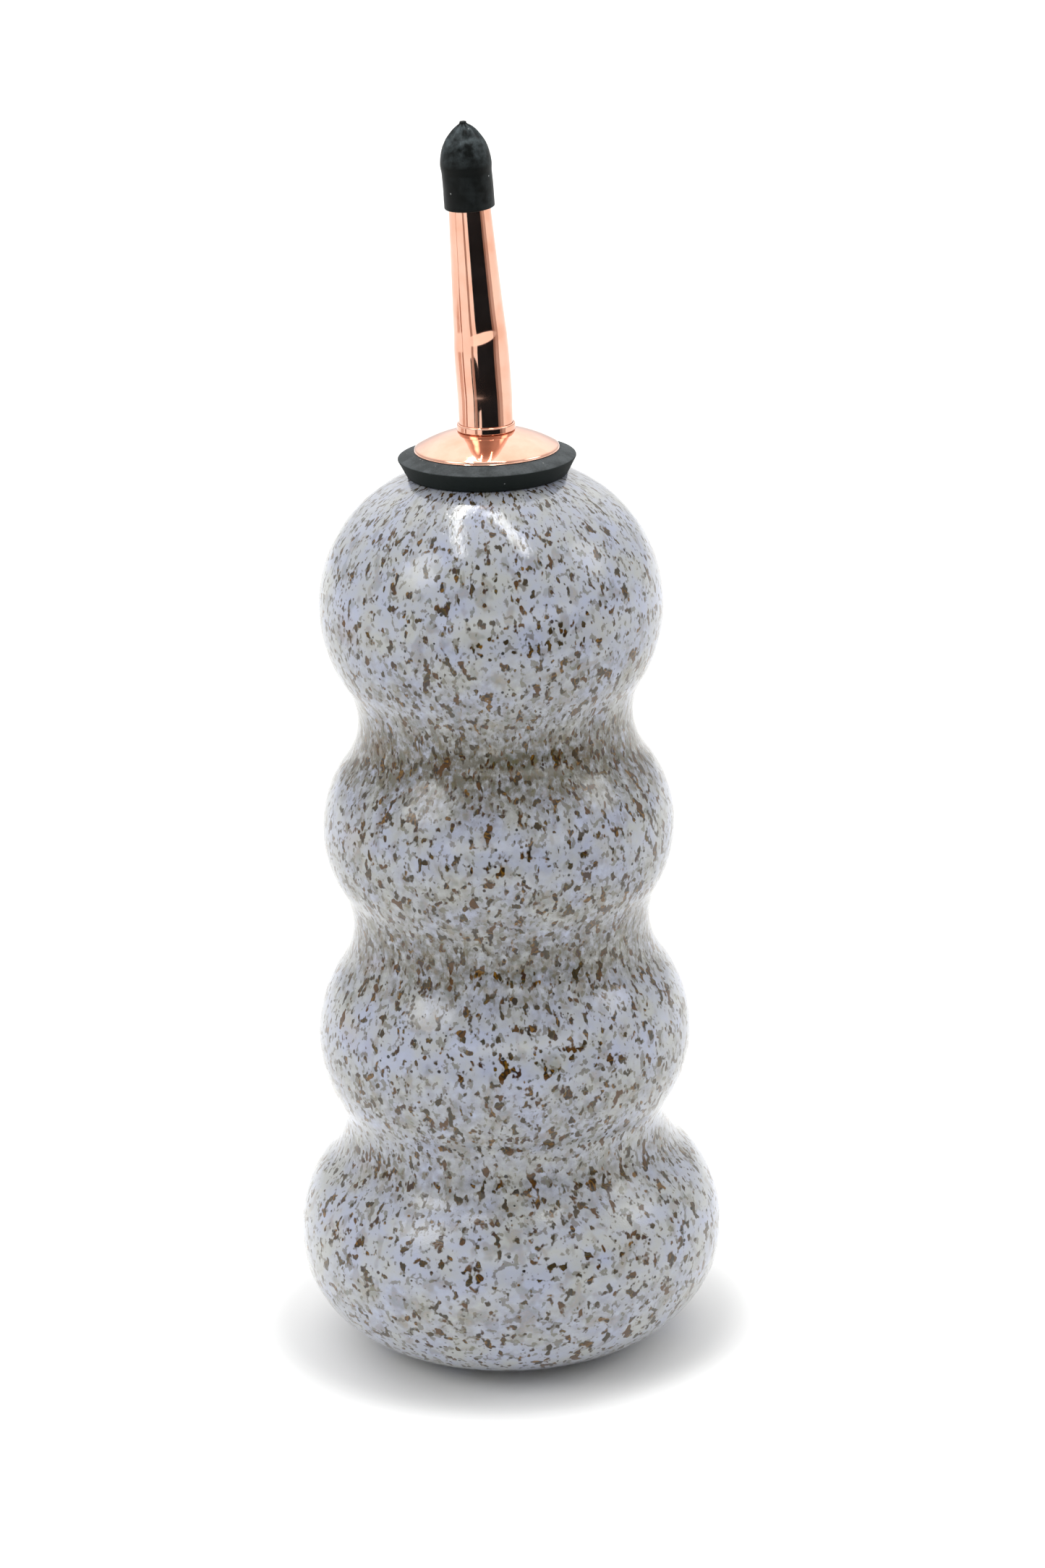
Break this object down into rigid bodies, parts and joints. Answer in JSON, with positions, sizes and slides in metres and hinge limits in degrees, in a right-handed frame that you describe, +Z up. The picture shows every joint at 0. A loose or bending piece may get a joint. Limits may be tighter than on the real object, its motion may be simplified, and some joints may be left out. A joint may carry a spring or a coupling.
{
  "type": "oil bottle with pourer",
  "caption": "Glazed stoneware oil bottle of stacked round bulbs, with a finned rubber stopper, a copper-plated pouring spout and a rubber dust cap.",
  "frame": {"origin": "on the bottle's axis, at the height of the foot ring's face that stands on the table", "axes": "+Z up along the bottle's axis; -Y is the side the bottle is usually seen from, and the spout leans towards -X and -Y"},
  "size_m": [0.0792, 0.0792, 0.2293],
  "materials": {
    "glazed_stoneware": "glossy",
    "black_rubber": "matte",
    "cap_rubber": "satin",
    "copper_plate": "polished",
    "steel_tube": "satin"
  },
  "bodies": {
    "bottle": {"bottle_body": "glazed_stoneware"},
    "stopper": {"rubber_stopper": "black_rubber"},
    "pourer": {"dome_flange": "copper_plate", "spout_ferrule": "copper_plate", "pouring_spout": "copper_plate", "stem_tube": "copper_plate", "breather_tube": "steel_tube"},
    "cap": {"dust_cap": "cap_rubber"}
  },
  "joints": [
    {"name": "stopper_pull", "type": "slide", "parent": "bottle", "child": "stopper", "axis": [0, 0, 1], "range_m": [0, 0.075]},
    {"name": "spout_turn", "type": "hinge", "parent": "stopper", "child": "pourer", "pos_m": [0, 0, 0.17], "axis": [0, 0, 1], "continuous": true},
    {"name": "cap_pull", "type": "slide", "parent": "pourer", "child": "cap", "axis": [-0.0482, -0.0574, 0.9972], "range_m": [0, 0.03]}
  ]
}
